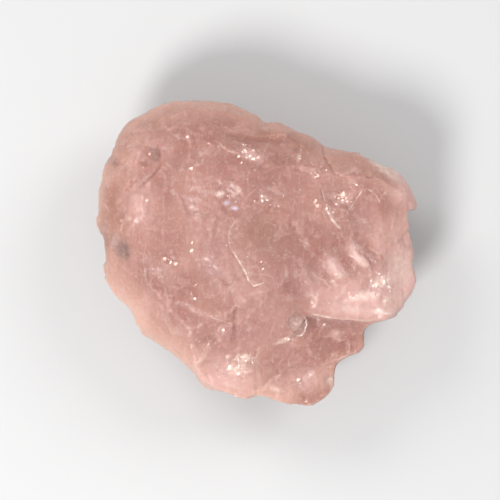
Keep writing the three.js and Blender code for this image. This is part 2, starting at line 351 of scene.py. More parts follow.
@dataclass(frozen=True)
class BrokenSurface:
    """The relief of broken beryl, as a Geometry Nodes tree that moves a fine mesh along its normals.

    Chips of two sizes tilt each its own way and fade out at their borders. Arcs of ripples run over some
    of the large ones, and faint ribs run along the crystal's length, which lies along Y.
    """

    swell_height: float = 0.28
    swell_size: float = 6.5
    chip_size: float = 3.4
    chip_tilt: float = 0.05
    flake_size: float = 1.3
    flake_tilt: float = 0.045
    ripple_height: float = 0.014
    ripple_pitch: float = 0.75
    rib_height: float = 0.03
    grain_height: float = 0.04
    side_roughness: float = 2.6
    inward: float = 0.06
    seed: float = 4.0

    def tree(self, material: bpy.types.Material) -> tuple[bpy.types.NodeTree, dict[str, Any]]:
        """Builds the tree.

        Args:
            material: what the finished surface is made of.

        Returns:
            The tree, and the value of each of its inputs by the socket's identifier.
        """
        tree = bpy.data.node_groups.new("Broken surface", "GeometryNodeTree")
        face = tree.interface
        face.new_socket("Geometry", in_out="INPUT", socket_type="NodeSocketGeometry")
        face.new_socket("Geometry", in_out="OUTPUT", socket_type="NodeSocketGeometry")
        values: dict[str, Any] = {}
        for name, value in asdict(self).items():
            label = name.replace("_", " ").capitalize()
            socket = face.new_socket(label, in_out="INPUT", socket_type="NodeSocketFloat")
            values[socket.identifier] = value
        socket = face.new_socket("Material", in_out="INPUT", socket_type="NodeSocketMaterial")
        values[socket.identifier] = material
        self._fill(Graph(tree))
        return tree, values

    def _fill(self, graph: Graph) -> None:
        """Adds the nodes that work out the relief and move the surface."""
        given = graph.node("NodeGroupInput")
        size = {each.name: Value(graph, each) for each in given.outputs if each.name}
        position = graph.out(graph.node("GeometryNodeInputPosition"), "Position")
        normal = graph.out(graph.node("GeometryNodeInputNormal"), "Normal")
        place = graph.scaled(position, 1.0 / MM)
        moved = graph.vector("ADD", place, graph.scaled(self._constant(graph), size["Seed"]))
        facing = graph.part(normal, "Z")
        top = graph.step(-0.4, 0.3, facing)
        swell = graph.noise(moved, 1.0 / size["Swell size"], 2.0, 0.45) - 0.5
        height = swell * size["Swell height"] * (0.4 + 1.6 * graph.step(0.2, 0.9, facing))
        chips, chip_place, chip_colour = graph.facets(moved, size["Chip size"])
        flakes, _, _ = graph.facets(moved, size["Flake size"])
        broken = graph.step(0.42, 0.62, graph.noise(moved, 0.16, 2.0))
        rough = 1.0 + (1.0 - top) * size["Side roughness"]
        height = height + (chips * size["Chip tilt"] + flakes * broken * size["Flake tilt"]) * rough
        height = height + self._ripples(graph, chip_place, chip_colour, size)
        ribs = graph.noise(moved, (1.1, 0.12, 0.5), 3.0) - 0.5
        grain = graph.noise(moved, 2.2, 4.0, 0.6) - 0.5
        height = height + ribs * size["Rib height"] * 2.0 + grain * size["Grain height"] * 2.0
        height = height - size["Inward"]
        above_rest = graph.step(0.05, 1.2, graph.part(place, "Z"))
        offset = graph.scaled(normal, height * above_rest * MM)
        moves = {"Geometry": Value(graph, given.outputs[0]), "Offset": offset}
        shift = graph.node("GeometryNodeSetPosition", None, moves)
        kept = {"Geometry": graph.out(shift, "Geometry"), "Name": "broken", "Value": broken}
        stored = graph.node("GeometryNodeStoreNamedAttribute", {"data_type": "FLOAT"}, kept)
        real = graph.node("GeometryNodeRealizeInstances", None, {"Geometry": graph.out(stored, "Geometry")})
        dressed = {"Geometry": graph.out(real, "Geometry"), "Material": size["Material"]}
        last = graph.node("GeometryNodeSetMaterial", None, dressed)
        graph.node("NodeGroupOutput", None, {"Geometry": graph.out(last, "Geometry")})

    @staticmethod
    def _constant(graph: Graph) -> Value:
        """A fixed direction in which the seed moves the pattern."""
        node = graph.node("ShaderNodeCombineXYZ", None, {"X": 13.7, "Y": 5.3, "Z": 9.1})
        return graph.out(node, "Vector")

    @staticmethod
    def _ripples(graph: Graph, place: Value, colour: Value, size: dict[str, Value]) -> Value:
        """Arcs of ripples round a point off the side of a chip, on about a third of the chips."""
        from_point = graph.vector("ADD", place, graph.scaled(colour, 3.0))
        distance = graph.vector("LENGTH", from_point, key="Value")
        wave = graph.maths("SINE", distance * (2.0 * math.pi) / size["Ripple pitch"])
        chosen = graph.step(0.55, 0.7, graph.part(colour, "Y"))
        return wave * chosen * size["Ripple height"]


@dataclass(frozen=True)
class Morganite:
    """The finish of the stone: cloudy salmon-pink beryl. Colours are linear."""

    salmon: Colour = (0.55, 0.275, 0.222)
    rose: Colour = (0.43, 0.185, 0.145)
    amber: Colour = (0.41, 0.185, 0.13)
    mauve: Colour = (0.48, 0.225, 0.20)
    peach: Colour = (0.88, 0.55, 0.435)
    pink: Colour = (0.84, 0.52, 0.465)
    milk: Colour = (0.82, 0.64, 0.55)
    grey: Colour = (0.30, 0.165, 0.14)
    lilac: Colour = (0.66, 0.60, 0.78)
    white: Colour = (0.93, 0.87, 0.80)
    dark: Colour = (0.36, 0.155, 0.12)
    refraction: float = 1.58
    clearness: float = 0.3
    scatter_weight: float = 0.6
    scatter_reach: Colour = (1.0, 0.62, 0.52)
    scatter_scale: float = 0.0012
    absorbed: Colour = (0.95, 0.62, 0.54)
    absorption: float = 90.0
    crust_roughness: float = 0.3
    worn_roughness: float = 0.54
    fresh_roughness: float = 0.16
    worn_bump: float = 0.01
    fresh_bump: float = 0.14
    grain_bump: float = 0.025
    speck_strength: float = 0.4
    thread_strength: float = 0.16
    hairline_strength: float = 0.25
    lilac_strength: float = 0.8

    def material(self) -> bpy.types.Material:
        """Builds the material.

        Returns:
            A material that reads the mesh's own attributes and Object coordinates.
        """
        material = bpy.data.materials.new("morganite")
        material.use_nodes = True
        material.node_tree.nodes.clear()
        graph = Graph(material.node_tree)
        coordinates = graph.node("ShaderNodeTexCoord")
        place = graph.scaled(graph.out(coordinates, "Object"), 1.0 / MM)
        marks = {name: self._attribute(graph, name) for name in Stone.ATTRIBUTES}
        normal = self._bump(graph, place, marks)
        body = graph.node("ShaderNodeBsdfPrincipled", {"subsurface_method": "RANDOM_WALK"}, {
            "Base Color": self._colour(graph, place, marks),
            "Roughness": self._roughness(graph, place, marks),
            "Normal": normal,
            "IOR": self.refraction,
            "Transmission Weight": self.clearness,
            "Subsurface Weight": self.scatter_weight,
            "Subsurface Radius": self.scatter_reach,
            "Subsurface Scale": self.scatter_scale,
        })
        crisp_colour, crisp = self._crisp_marks(graph, place, marks)
        crust = graph.node("ShaderNodeBsdfPrincipled", None, {
            "Base Color": crisp_colour,
            "Roughness": self.crust_roughness,
            "Normal": normal,
            "IOR": self.refraction,
        })
        layers = {"Fac": crisp, "Shader": graph.out(body, "BSDF"), "Shader_001": graph.out(crust, "BSDF")}
        shader = graph.node("ShaderNodeMixShader", None, layers)
        clear = {"Color": (*self.absorbed, 1.0), "Density": self.absorption}
        inside = graph.node("ShaderNodeVolumeAbsorption", None, clear)
        ends = {"Surface": graph.out(shader, "Shader"), "Volume": graph.out(inside, "Volume")}
        graph.node("ShaderNodeOutputMaterial", None, ends)
        return material

    @staticmethod
    def _attribute(graph: Graph, name: str) -> Value:
        """One of the mesh's own attributes."""
        return graph.out(graph.node("ShaderNodeAttribute", {"attribute_name": name}), "Fac")

    def _colour(self, graph: Graph, place: Value, marks: dict[str, Value]) -> Value:
        """Colour of the stone's body.

        Args:
            graph: where the nodes go.
            place: the place on the stone.
            marks: the mesh's attributes.

        Returns:
            The colour.
        """
        ragged = 0.35 + 1.3 * graph.noise(place, 1.1, 5.0, 0.65)
        wisps = graph.noise(place, (1.5, 0.3, 0.6), 4.0, 0.65)
        fine = graph.noise(place, 3.2, 4.0, 0.65)
        layers = (
            (graph.step(0.4, 0.62, graph.noise(place, 0.2, 4.0, 0.6)), self.rose),
            (graph.step(0.5, 0.66, graph.noise(place, 0.33, 3.0, 0.6)) * 0.5, self.mauve),
            # painted glow of the rim, where light shines through the narrow stone; it is stronger towards
            # the south-west
            (marks["thin"] * 0.85, self.peach),
            # the rose and amber marks also carry painted shade, and the pale mark painted light, besides the
            # stone's own tones
            (marks["rose"] * ragged, self.rose),
            (marks["amber"] * ragged, self.amber),
            (marks["mauve"] * ragged, self.mauve),
            (marks["pale"] * ragged * 0.95, self.pink),
            (graph.step(0.5, 0.68, graph.noise(place, 0.8, 4.0, 0.62)) * 0.3, self.pink),
            (graph.step(0.54, 0.72, wisps) * 0.25, self.pink),
            (graph.step(0.54, 0.72, 1.0 - wisps) * 0.25, self.rose),
            (marks["smudge"] * ragged, self.grey),
            # ridges lighter, as pale broken edges; clefts darker, a painted shade
            (graph.step(0.1, 0.9, marks["edge"]) * 0.35, self.milk),
            (graph.step(0.1, 0.9, marks["edge"] * -1.0) * 0.35, self.rose),
            (graph.step(0.52, 0.7, fine) * 0.22, self.milk),
            (graph.step(0.52, 0.7, 1.0 - fine) * 0.22, self.rose),
        )
        colour: Any = self.salmon
        for amount, paint in layers:
            colour = graph.mix(amount, colour, paint)
        return colour

    def _crisp_marks(self, graph: Graph, place: Value, marks: dict[str, Value]) -> tuple[Value, Value]:
        """Marks that lie at the surface and stay sharp: lines, veils, gleams, and white specks, sparks and
        glitter that are painted glints.

        Args:
            graph: where the nodes go.
            place: the place on the stone.
            marks: the mesh's attributes.

        Returns:
            Their colour, and how much of it shows.
        """
        cloud = graph.step(0.36, 0.64, graph.noise(place, 2.6, 5.0, 0.7))
        clouded = graph.step(0.5, 0.68, graph.noise(place, 0.4, 4.0, 0.6)) * marks["side"]
        # veils, partly painted light on the rim and the ribs' lit flanks
        veil = graph.step(0.1, 0.9, graph.largest(marks["veil"], clouded * 0.6)) * (0.2 + 0.65 * cloud)
        # painted glints: small white specks scattered at random
        grains = graph.cells(place, 1.1)
        tone = graph.node("ShaderNodeSeparateColor", None, {"Color": graph.out(grains, "Color")})
        chosen = graph.step(0.6, 0.7, graph.out(tone, "Red"))
        speck = (1.0 - graph.step(0.06, 0.11, graph.out(grains, "Distance"))) * chosen
        wisp = graph.noise(place, (1.0, 0.35, 0.6), 5.0, 0.75)
        thread = 1.0 - graph.step(0.0, 0.012, graph.maths("ABSOLUTE", wisp - 0.53))
        breaks = graph.cells(graph.vector("MULTIPLY", place, (0.75, 0.34, 0.5)), feature="DISTANCE_TO_EDGE")
        shown = graph.step(0.5, 0.62, graph.noise(place, 0.6, 3.0, 0.6))
        hairline = (1.0 - graph.step(0.004, 0.025, graph.out(breaks, "Distance"))) * shown
        line = 1.0 - graph.step(0.55, 1.2, graph.maths("ABSOLUTE", marks["line_side"]))
        line = line * (0.2 + 1.1 * graph.step(0.3, 0.68, graph.noise(place, 2.2, 4.0, 0.75)))
        # white lines are cracks, and also painted highlight on the lobe's ledge and the ribs' edges; dark
        # lines are dark cracks, and also painted shade along the north groove's step and below the lobe's
        # ledge
        bright = line * graph.step(0.0, 1.0, marks["line_light"])
        gloom = line * graph.step(0.0, 1.0, marks["line_light"] * -1.0)
        # painted glints on the listed chips: a peach halo round a white core
        painted_glint = graph.step(0.42, 0.62, marks["painted_glint"]) * (0.5 + 0.6 * graph.out(tone, "Green"))
        # painted glints of the glitter clusters
        painted_glitter, shine = self._painted_glitter(graph, place, marks["painted_glitter"])
        colour = graph.mix(graph.step(0.05, 0.6, marks["lilac"]), self.milk, self.lilac)
        layers = (
            (graph.largest(bright, speck), self.white),
            (gloom * 3.0, self.dark),
            (graph.step(0.3, 0.5, marks["painted_glint"]), self.peach),
            (graph.step(0.6, 1.0, marks["painted_glint"]), self.white),
        )
        for amount, paint in layers:
            colour = graph.mix(amount, colour, paint)
        colour = graph.mix(shine, graph.mix(painted_glitter, colour, self.peach), self.white)
        faint = graph.largest(speck * self.speck_strength, thread * self.thread_strength)
        faint = graph.largest(faint, hairline * self.hairline_strength, marks["lilac"] * self.lilac_strength)
        amount = graph.largest(veil, painted_glitter, faint, bright, gloom, painted_glint)
        return colour, graph.maths("MINIMUM", amount, 1.0)

    @staticmethod
    def _painted_glitter(graph: Graph, place: Value, amount: Value) -> tuple[Value, Value]:
        """Painted glints: tiny bright chips that crowd together.

        Args:
            graph: where the nodes go.
            place: the place on the stone.
            amount: how crowded they are.

        Returns:
            Where there is a chip, and how white its painted glint is.
        """
        wander = graph.noise(place, 2.4, 3.0, key="Color")
        bent = graph.vector("ADD", place, graph.scaled(wander, 0.5))
        chips = graph.cells(bent, 2.6)
        tone = graph.node("ShaderNodeSeparateColor", None, {"Color": graph.out(chips, "Color")})
        inside = 1.0 - graph.step(0.25, 0.5, graph.out(chips, "Distance"))
        share = amount * 0.75
        chosen = graph.step(0.0, 0.12, share - graph.out(tone, "Red"))
        white = graph.step(0.45, 0.8, graph.out(tone, "Green")) * chosen * inside
        return chosen * inside * 0.8, white

    def _roughness(self, graph: Graph, place: Value, marks: dict[str, Value]) -> Value:
        """Worn stone is dull, fresh chips are glassy."""
        patches = graph.noise(place, 0.8, 4.0, 0.6)
        worn = self.worn_roughness - 0.12 * marks["side"] - 0.2 * graph.step(0.45, 0.7, patches)
        return graph.largest(worn - 0.24 * marks["fresh"], self.fresh_roughness)

    def _bump(self, graph: Graph, place: Value, marks: dict[str, Value]) -> Value:
        """Fine chips and grain, too small for the mesh."""
        chips, _, _ = graph.facets(place, 0.55, 0.5)
        grain = graph.noise(place, 4.0, 4.0, 0.6) * self.grain_bump
        height = chips * (self.worn_bump + self.fresh_bump * marks["fresh"]) + grain
        bump = graph.node("ShaderNodeBump", None, {"Strength": 1.0, "Distance": MM, "Height": height})
        return graph.out(bump, "Normal")


STREAKS = (  # points, half width, light, depth and, where it isn't 0.2, spread of the groove
    # the healed crack of the middle: faint above, white below, with its hook
    (((-2.2, 2.9), (-2.65, 1.95), (-2.75, 1.0), (-2.3, 0.0)), 0.06, 0.45, 0.05),
    (((-2.3, 0.0), (-2.0, -0.45), (-1.15, -1.85), (-0.8, -2.75)), 0.075, 0.62, 0.06, 0.25),
    (((-0.8, -2.75), (-0.35, -3.28)), 0.07, 0.5, 0.05),
    (((-0.35, -3.28), (0.1, -3.2), (0.6, -3.0)), 0.07, 0.7, 0.05),
    # bright curve below the north groove
    (((-3.8, 10.7), (-3.0, 10.0), (-2.5, 9.7), (-1.85, 9.55)), 0.08, 0.4, -0.05, 0.25),
    # dark bed of the north groove: painted shade along its step
    (((-2.6, 11.5), (-1.0, 11.2), (0.2, 10.95), (1.2, 10.95), (2.0, 11.25)), 0.34, -0.9, 0.03, 0.5),
    (((2.0, 11.25), (3.1, 11.3), (3.9, 10.8), (4.2, 10.3)), 0.16, -0.8, 0.06, 0.35),
    (((-2.4, 12.0), (0.4, 11.75), (2.6, 11.9)), 0.1, -0.25, 0.03, 0.3),
    # pale stripes along the crystal's length
    (((-8.2, 8.1), (-8.15, 6.5)), 0.1, 0.2, 0.0),
    (((-7.5, 8.2), (-7.55, 7.0)), 0.1, 0.2, 0.0),
    (((-6.0, 7.6), (-6.2, 5.9)), 0.1, 0.16, 0.0),
    # dark crease below the west pit, and a hairline above it
    (((-9.9, 8.3), (-10.5, 7.5), (-11.4, 7.0), (-12.1, 6.8)), 0.16, -0.6, 0.08, 0.4),
    (((-12.1, 6.85), (-12.35, 6.4), (-12.6, 6.0)), 0.26, -1.0, 0.12, 0.4),
    (((-12.6, 6.0), (-13.1, 5.6)), 0.12, -0.6, 0.05, 0.3),
    (((-12.75, 13.0), (-12.2, 11.6)), 0.06, -0.35, 0.05),
    # ribs of the bright lump
    (((-11.05, 5.6), (-11.2, 4.9), (-11.1, 4.1)), 0.08, 0.35, -0.04),
    (((-11.6, 5.2), (-11.75, 4.6), (-11.65, 4.0)), 0.06, 0.2, -0.03),
    # dark edge of the smooth north-east facet, and the light line that goes on from it
    (((6.5, 10.55), (6.6, 9.45), (7.05, 8.55), (7.6, 7.65), (8.05, 7.4)), 0.16, -0.9, 0.08, 0.35),
    (((8.0, 7.45), (8.5, 7.6), (9.6, 7.95)), 0.07, 0.4, 0.03),
    (((4.75, 9.6), (6.4, 9.75)), 0.06, 0.25, 0.03),
    # outline of the tear-shaped scar, with the white streak at its tip
    (((6.4, 6.2), (6.5, 5.35), (6.85, 4.45), (7.05, 3.55)), 0.06, 0.5, 0.05),
    (((6.75, 4.3), (7.2, 3.4), (7.7, 2.7), (8.15, 2.3)), 0.13, 0.6, -0.05, 0.3),
    (((7.75, 3.25), (8.6, 3.55), (9.5, 4.8), (10.2, 5.9)), 0.06, 0.45, 0.06),
    (((10.2, 5.9), (9.75, 6.65), (8.85, 6.75)), 0.05, 0.35, 0.04),
    # hackles east of it
    (((10.95, 6.1), (11.6, 5.65), (12.05, 4.9)), 0.07, 0.5, 0.04),
    (((12.95, 5.65), (13.6, 5.9), (14.15, 6.2)), 0.09, 0.4, 0.03),
    (((11.05, 2.6), (11.1, 1.9)), 0.06, 0.3, 0.03),
    # light edges of the slanting ribs, partly painted highlight on their lit flanks
    (((5.4, -2.05), (6.75, -2.95), (7.2, -3.5)), 0.09, 0.35, -0.04, 0.3),
    (((11.0, 0.4), (11.8, -0.15), (12.15, -0.95)), 0.08, 0.4, -0.04, 0.3),
    # lobe: hairline through a bright chip, ledge and lower edge; the light ledge and lower edge are painted
    # highlight
    (((8.2, -4.8), (9.2, -4.45), (10.3, -4.0)), 0.06, 0.45, 0.03),
    (((14.6, -5.1), (14.05, -6.55)), 0.07, 0.5, 0.03),
    (((11.7, -5.9), (12.5, -6.0), (13.3, -6.0)), 0.13, 0.6, -0.03, 0.25),
    (((5.6, -6.1), (7.4, -6.45), (9.0, -6.65), (11.25, -6.75)), 0.09, 0.45, -0.04, 0.25),
    # bright rim of the round scar
    (((4.75, -6.4), (4.9, -7.1), (4.75, -7.7), (4.4, -8.15), (3.95, -8.25)), 0.07, 0.8, -0.04),
    (((3.95, -8.25), (3.4, -7.9), (3.05, -7.2), (3.05, -6.5), (3.5, -6.0)), 0.05, 0.35, -0.02),
    # split corner: dark cleft, a painted shadow below the lobe's ledge, crack and a line of painted glints
    (((5.0, -6.3), (6.3, -6.65), (7.2, -6.8)), 0.14, -0.35, 0.04, 0.25),
    (((6.35, -7.4), (7.05, -7.15)), 0.05, 0.4, 0.03),
    (((6.5, -7.9), (6.5, -9.25)), 0.1, -0.4, 0.04, 0.25),
    # south facet: its upright edge, dark line and short white crack
    (((0.0, -9.4), (0.0, -11.5), (0.05, -14.1)), 0.05, 0.3, 0.05, 0.25),
    (((-0.4, -10.4), (-0.4, -10.95)), 0.08, 0.85, 0.03),
    (((-3.8, -11.65), (-2.5, -12.4), (-1.35, -12.6)), 0.12, -0.4, 0.08, 0.3),
    # hairlines of the lower and left middle
    (((-5.05, -5.9), (-4.2, -6.4), (-2.5, -7.0)), 0.06, 0.4, 0.03),
    (((-4.2, -1.4), (-3.6, -1.65)), 0.08, 0.4, 0.0),
    (((-9.0, -0.55), (-8.4, -0.9), (-7.8, -1.1)), 0.12, 0.35, -0.03, 0.25),
    (((2.35, -4.75), (4.25, -4.55)), 0.06, 0.25, 0.0),
    (((4.2, 1.3), (4.85, 0.2)), 0.13, 0.3, 0.0),
    # dark dash above the middle
    (((0.9, 3.8), (1.8, 3.75), (2.7, 3.5)), 0.24, -0.7, 0.04, 0.4),
    # dark crescent and its light twin
    (((-9.0, -3.8), (-9.15, -4.2), (-9.0, -4.65)), 0.13, -0.45, 0.08, 0.25),
    (((-8.75, -3.9), (-8.78, -4.5)), 0.08, 0.3, -0.03),
)

HOLLOWS = (
    Hollow((3.93, -7.06), (0.9, 1.15), 20, 0.07, hard=1.0),  # round scar by the inner corner
    Hollow((7.3, -12.8), (0.6, 0.6), 0, 0.06, 2, 0.04, 1.0),  # ringed eye of the lower corner
    Hollow((-3.0, 5.6), (1.2, 0.9), -20, 0.08, 3, 0.03, 0.5),  # ringed scar left of the middle
    Hollow((-9.9, 9.6), (0.5, 0.75), 0, 0.12, hard=0.6),  # west pit
    Hollow((-11.5, 4.5), (1.6, 2.2), 10, 0.0, 3, 0.014, 0.2),  # ribbed top of the bright lump
    Hollow((4.2, -11.9), (1.6, 0.8), 8, 0.1, hard=0.3),  # soft step of the lower corner
)

PATCHES = {  # for each mark: middle, half sizes, turn and amount
    Mark.VEIL: (
        ((3.9, -7.1), (1.2, 1.45), 20, 0.5), ((-3.55, 5.65), (0.7, 0.5), 0, 0.9),
        ((-2.25, 5.45), (0.35, 0.35), 0, 0.7), ((0.65, 5.35), (0.6, 0.45), 0, 0.5),
        ((7.35, 3.3), (0.8, 0.3), -55, 0.5), ((2.85, -2.05), (0.3, 0.9), 0, 0.45),
        ((3.8, -2.05), (0.4, 0.8), 0, 0.45), ((7.6, 0.2), (0.5, 0.5), 0, 0.5),
        ((7.8, -8.0), (0.9, 0.6), 0, 0.5), ((2.6, -8.7), (1.2, 0.35), 25, 0.7),
        ((-1.3, -10.4), (1.1, 0.6), 0, 0.9), ((-2.8, -10.25), (0.4, 0.3), 0, 0.9),
        ((-1.6, -11.5), (1.5, 0.9), 0, 0.8), ((-2.4, -13.2), (2.0, 0.3), -18, 0.5),
        # painted highlight: the two veils of this line lie on the lit flanks of the slanting ribs
        ((7.7, -1.8), (1.7, 0.55), -55, 0.6), ((9.9, -0.5), (1.7, 0.5), -58, 0.6),
        ((9.6, -4.6), (1.6, 0.4), 15, 0.7), ((12.2, -5.8), (1.6, 0.4), 0, 0.8),
        ((9.4, -5.6), (2.4, 0.7), 0, 0.5), ((13.4, -4.6), (2.4, 1.6), 30, 0.4),
        ((14.9, -2.6), (0.9, 1.8), 0, 0.3), ((1.7, -13.5), (0.9, 0.4), -30, 0.6),
        ((-4.8, -9.3), (0.9, 0.5), 0, 0.35), ((7.3, -12.8), (0.7, 0.7), 0, 0.6),
        # painted light: the two veils of this line brighten the north-east rim and the east of the lobe,
        # which face away from the key light
        ((12.8, 8.1), (3.0, 0.8), -33, 0.75), ((14.2, -1.6), (2.2, 3.2), 0, 0.55),
        ((4.1, 9.2), (0.35, 0.7), -15, 0.6), ((10.8, -4.3), (1.5, 0.7), 0, 0.8),
        ((12.3, -2.9), (1.6, 0.9), 15, 0.8), ((12.7, -4.9), (0.7, 0.9), 0, 0.8),
    ),
    Mark.SMUDGE: (
        ((-9.95, 9.6), (0.6, 0.85), 0, 0.65), ((-9.5, 9.5), (0.2, 0.8), 0, 0.8),
        ((-15.0, 1.5), (0.9, 1.6), 10, 0.6), ((-13.2, 0.35), (1.2, 1.0), -30, 1.1),
        ((-12.7, -0.2), (0.45, 0.6), 0, 0.95), ((-13.7, 1.0), (1.9, 1.0), -35, 0.5),
        ((-10.8, -2.25), (0.5, 0.8), 0, 0.4), ((-10.9, -1.1), (0.4, 0.5), 0, 0.35),
        ((-13.9, 8.7), (0.25, 0.3), 0, 0.6), ((-6.05, 4.7), (0.2, 0.2), 0, 0.6),
        ((-10.7, 3.7), (0.3, 0.2), 0, 0.5), ((3.8, 10.0), (0.25, 0.25), 0, 0.7),
        ((7.65, 1.55), (0.2, 0.2), 0, 0.8), ((-4.75, -8.4), (0.35, 0.25), 0, 0.6),
        ((2.05, -11.8), (0.15, 0.3), 0, 0.7), ((10.2, 8.4), (3.2, 1.2), -24, 0.12),
        ((15.15, 0.5), (0.2, 0.3), 0, 0.5), ((14.0, 1.0), (0.2, 0.2), 0, 0.4),
        ((3.9, -7.0), (1.1, 1.35), 20, 0.45), ((7.3, -12.8), (0.7, 0.7), 0, 0.5),
    ),
    Mark.ROSE: (
        ((1.6, 1.0), (4.4, 3.4), -8, 0.6), ((-1.4, 7.2), (4.4, 2.4), 10, 0.85),
        ((1.8, 7.4), (3.6, 2.0), -15, 0.8), ((0.5, 4.8), (5.5, 3.4), 0, 0.55),
        ((-9.6, 3.4), (2.4, 5.0), 0, 0.3), ((5.8, -14.4), (3.0, 1.4), 15, 0.8),
        # painted shade: the second patch of this line lies along the step of the north groove
        ((8.8, -11.2), (1.6, 1.8), 40, 0.85), ((0.8, 11.05), (3.6, 0.42), -2, 1.4),
        # painted shade: this line and the first patch of the next lie under the lobe's ledge
        ((5.6, -6.8), (1.0, 0.9), 0, 1.2), ((5.2, -8.0), (1.3, 1.3), 0, 0.8),
        ((8.0, -8.8), (3.8, 2.3), 10, 1.05), ((-5.4, -6.5), (1.4, 0.5), -8, 0.7),
        ((-12.6, 5.0), (1.8, 3.4), 0, 0.25), ((-10.6, 12.0), (1.8, 1.4), 0, 0.25),
        # painted shade: both patches of this line and the first of the next lie in the valleys of the
        # slanting ribs
        ((8.9, -1.2), (2.0, 0.6), -56, 0.9), ((6.6, -2.2), (1.8, 0.5), -50, 0.8),
        ((11.1, 0.1), (1.8, 0.5), -56, 0.8), ((10.0, 2.9), (1.9, 0.8), 20, 0.25),
    ),
    Mark.AMBER: (
        ((0.4, 2.0), (3.4, 1.6), -8, 0.8), ((1.8, 3.75), (1.2, 0.45), -8, 0.9),
        ((3.15, -3.3), (0.45, 0.4), 0, 0.9), ((5.0, 10.4), (1.5, 0.9), 0, 0.5),
        ((-14.0, 4.2), (2.0, 3.6), 0, 0.8), ((-14.6, 0.2), (1.9, 2.6), 0, 0.5),
        # painted shade: the second patch of this line lies along the step of the north groove
        ((-13.6, 9.6), (1.4, 3.0), -25, 0.6), ((0.6, 11.4), (4.6, 0.6), -2, 0.8),
        ((-4.6, 12.4), (3.4, 0.5), 8, 0.4), ((10.4, 8.2), (3.6, 1.3), -24, 0.35),
    ),
    Mark.MAUVE: (
        ((-1.0, 6.6), (4.6, 2.6), 15, 0.4), ((3.0, -2.4), (4.0, 2.6), 0, 0.6),
        ((-4.0, 0.6), (2.0, 2.4), 0, 0.5), ((-2.0, -8.0), (3.0, 1.2), -10, 0.5),
    ),
    Mark.PALE: (
        # partly painted light: most patches of this line and the next four brighten the lobe, the south
        # facet and the east and north-east rim, where slopes face the key light or light shines through
        ((10.8, -4.6), (6.0, 2.8), 6), ((11.0, -5.9), (4.4, 1.0), -4),
        ((-3.4, -12.4), (3.6, 2.2), -15, 0.85), ((14.6, -0.6), (2.6, 5.2), 0, 0.75),
        ((12.8, -3.0), (3.2, 2.4), 0, 0.9), ((14.6, 5.8), (1.8, 2.4), 20, 0.75),
        ((12.6, 8.9), (2.8, 0.7), -30, 0.7), ((15.2, -3.8), (1.8, 3.2), -15, 1.3),
        ((13.6, -5.8), (2.0, 1.2), 30, 1.2), ((4.0, -12.4), (3.2, 1.8), 10, 0.4),
        # painted highlight: the second patch of this line, both of the next and the first of the one after
        # lie on the lit flanks of the slanting ribs
        ((-11.5, 4.7), (2.0, 2.4), 5, 0.5), ((5.6, -2.9), (1.8, 0.8), -48, 0.4),
        ((7.8, -1.7), (2.1, 0.75), -55), ((10.0, -0.4), (2.1, 0.75), -58),
        ((12.2, 0.5), (1.8, 0.8), -58, 0.6), ((11.6, 2.2), (2.8, 1.8), 0, 0.35),
        ((-0.6, 9.5), (1.5, 0.7), -25), ((7.9, -8.1), (1.2, 0.8), 0, 0.35),
        ((8.6, 5.2), (1.4, 0.6), 35, 0.6),
    ),
    Mark.LILAC: (
        ((-2.9, 4.75), (0.35, 0.3), 0, 0.7), ((-2.15, 4.25), (0.42, 0.2), -10, 0.9),
    ),
    Mark.FRESH: (
        ((-0.8, 9.7), (2.0, 1.0), -20), ((8.2, 5.3), (1.9, 1.2), 30), ((11.9, -3.3), (2.0, 1.1), 10),
        ((-1.9, -11.0), (1.9, 1.2), 0, 0.9), ((-8.4, -0.9), (0.9, 0.5), -25),
        ((-3.0, 5.4), (1.0, 0.8), -20, 0.9), ((-6.1, -3.7), (0.8, 0.9), 0, 0.6),
        ((3.7, -12.9), (1.2, 0.6), 0, 0.9), ((9.2, -1.0), (2.8, 1.4), 28, 0.5),
        ((0.9, 4.8), (1.6, 0.7), -15, 0.6), ((4.6, 8.2), (1.8, 1.6), -30, 0.6),
        ((14.6, 0.8), (0.8, 2.4), 0, 0.6),
    ),
    Mark.GLITTER: (
        ((-1.1, 9.9), (0.5, 0.8), 15, 0.8), ((-0.2, 9.1), (0.6, 0.4)), ((8.4, 5.2), (1.0, 0.7), 35, 0.8),
        ((9.4, 6.2), (0.9, 0.4), 40, 0.4), ((11.9, -3.1), (1.3, 0.6), 15, 0.9),
        ((12.6, -4.6), (0.6, 0.6), 0, 0.6), ((13.2, -2.2), (0.9, 1.2), 0, 0.4),
        ((9.4, -4.4), (0.9, 0.4), 20, 0.5), ((-2.3, -11.5), (0.9, 0.7), 0, 0.9),
        ((-1.0, -11.0), (1.2, 1.2), 0, 0.45), ((-8.4, -0.9), (0.9, 0.3), -25, 0.8),
        ((4.0, -12.9), (0.8, 0.4), 20, 0.6), ((2.6, -8.6), (1.1, 0.3), 25, 0.6),
        ((6.8, -7.1), (0.9, 0.3), 15, 0.4), ((0.6, -1.2), (0.3, 0.6), 0, 0.6),
        ((1.2, 4.8), (2.0, 0.6), -20, 0.5), ((6.0, 7.6), (1.0, 0.6), 50, 0.8),
        ((7.4, 3.5), (1.4, 0.35), -58), ((5.8, 4.8), (0.3, 0.7)), ((7.4, -1.6), (1.3, 0.4), -55, 0.35),
        ((-6.2, -3.9), (0.9, 1.2), 0, 0.35),
    ),
}

